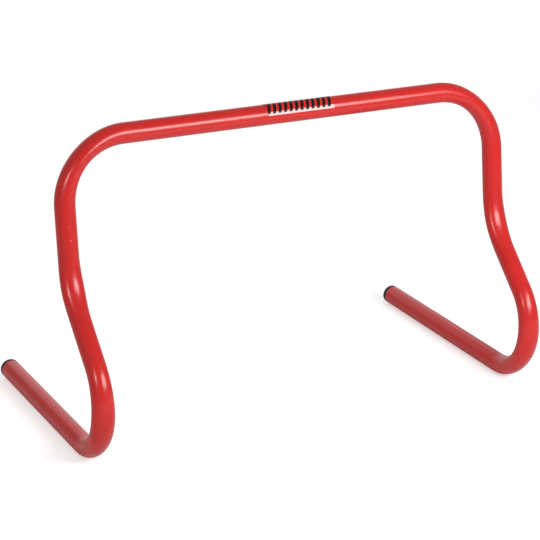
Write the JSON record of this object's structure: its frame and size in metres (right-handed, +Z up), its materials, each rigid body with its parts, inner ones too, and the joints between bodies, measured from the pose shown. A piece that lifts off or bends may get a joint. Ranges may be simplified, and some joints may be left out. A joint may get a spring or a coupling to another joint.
{
  "type": "speed hurdle",
  "caption": "Low free-standing training hurdle: a round plastic tube bent into a level bar on cranked legs, with feet lying back on the floor, push-in end plugs and a bar label.",
  "frame": {"origin": "middle of the footprint on the floor: half way between the legs and half way from the front of the toes to the back of the plugs", "axes": "+Z up, +X along the bar to the right as seen by a person facing its label, +Y back along the feet"},
  "size_m": [0.4862, 0.2851, 0.3074],
  "materials": {
    "tube_plastic": "extruded, satin gloss",
    "plug_plastic": "moulded, semi-matt",
    "label_film": "printed vinyl film"
  },
  "bodies": {
    "root": {"frame_tube": "tube_plastic", "left_end_plug": "plug_plastic", "right_end_plug": "plug_plastic", "bar_label": "label_film"}
  },
  "joints": []
}
